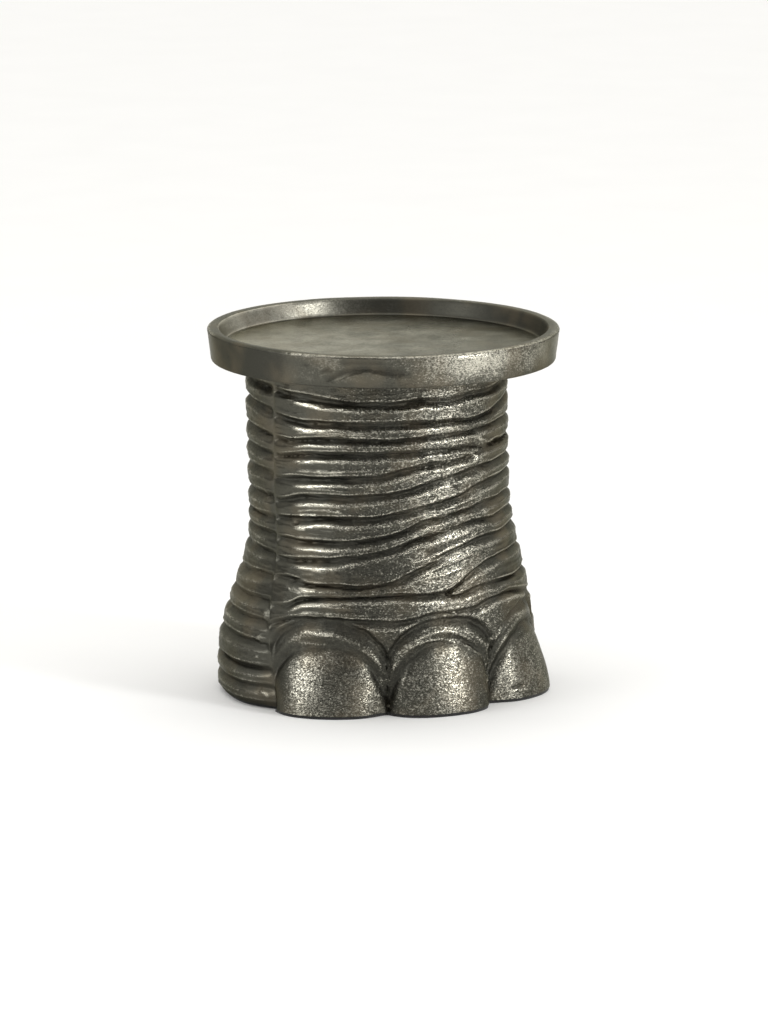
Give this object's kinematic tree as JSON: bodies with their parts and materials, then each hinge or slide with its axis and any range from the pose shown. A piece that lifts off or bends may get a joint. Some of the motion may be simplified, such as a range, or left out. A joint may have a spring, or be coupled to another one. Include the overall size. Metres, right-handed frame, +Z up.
{
  "type": "footed pillar candle stand",
  "caption": "Round dish tray for a pillar candle on a hollow cast leg shaped like an elephant's foot, with skin folds, toes and a thin sheet pad.",
  "frame": {"origin": "on the tray's axis, on the surface that the pad rests on", "axes": "+Z up along the tray's axis; the toes point along -Y and +X is to the right seen from the toes"},
  "size_m": [0.1498, 0.1497, 0.1563],
  "materials": {
    "cast_metal": "sand cast, blackened and rubbed back to an antique pewter",
    "weld_metal": "raw weld bead",
    "plated_steel": "zinc plated",
    "pad_sheet": "black felt sheet"
  },
  "bodies": {
    "root": {"tray": "cast_metal", "foot_front_shell": "cast_metal", "foot_rear_shell": "cast_metal", "seam_weld_left": "weld_metal", "seam_weld_right": "weld_metal", "clamp_bar": "plated_steel", "flat_washer": "plated_steel", "spring_washer": "plated_steel", "clamp_bolt": "plated_steel", "base_pad": "pad_sheet"}
  },
  "joints": []
}
